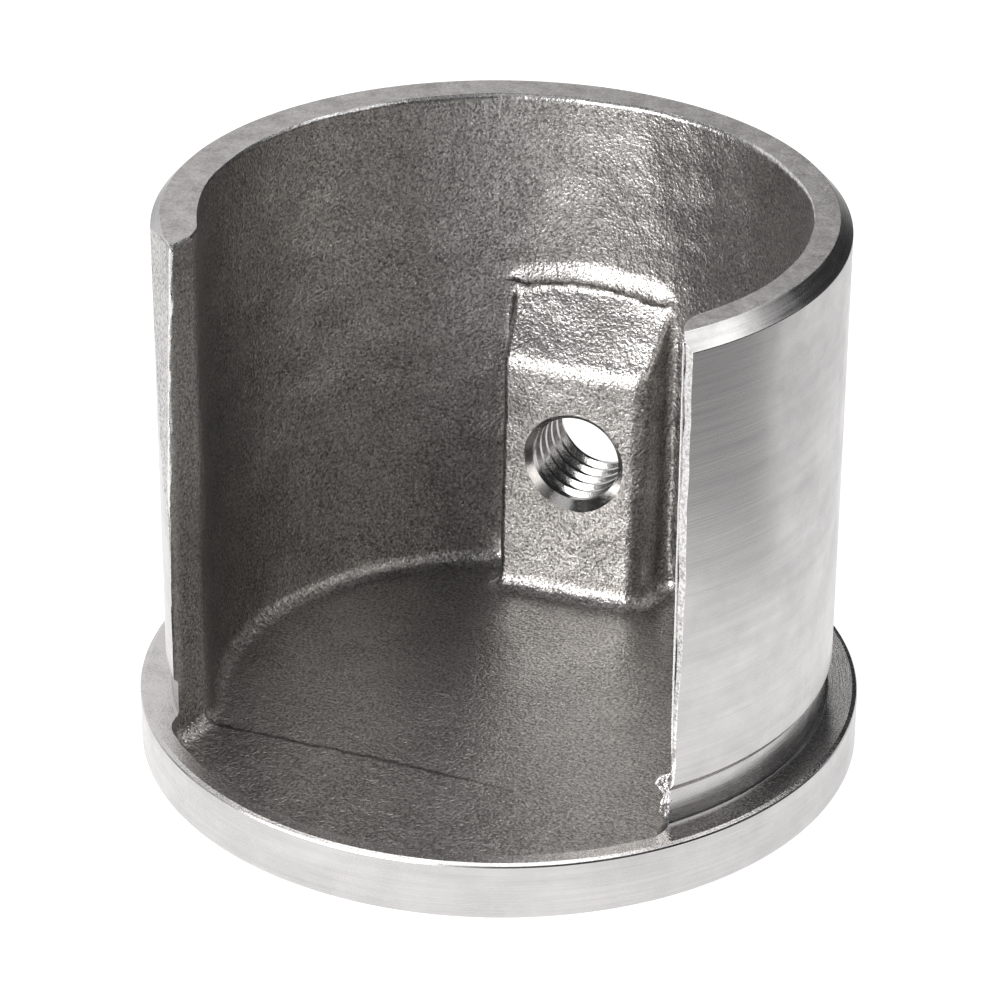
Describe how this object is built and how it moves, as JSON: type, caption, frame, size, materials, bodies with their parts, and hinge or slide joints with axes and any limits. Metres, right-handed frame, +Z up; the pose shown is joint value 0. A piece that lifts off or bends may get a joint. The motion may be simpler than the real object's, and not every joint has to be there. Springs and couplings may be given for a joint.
{
  "type": "slotted tube end base",
  "caption": "Round flanged stainless base for the end of a slotted tube, with an open-fronted collar, an inner boss with a tapped cross hole and a loose set screw.",
  "frame": {"origin": "middle of the flange's underside", "axes": "+Z up along the tube, out of the open cup; the open slot faces -Y and the tapped boss stands on the wall at +Y"},
  "size_m": [0.0508, 0.0508, 0.04],
  "materials": {
    "cast_stainless": "turned bright outside, as-cast warm grey pebbled skin inside",
    "screw_stainless": "plain machined stainless"
  },
  "bodies": {
    "base": {"base_casting": "cast_stainless"},
    "loose_set_screw": {"set_screw": "screw_stainless"}
  },
  "joints": [
    {"name": "set_screw_lift", "type": "slide", "parent": "base", "child": "loose_set_screw", "axis": [0, 0, 1], "range_m": [0, 0.045]}
  ]
}
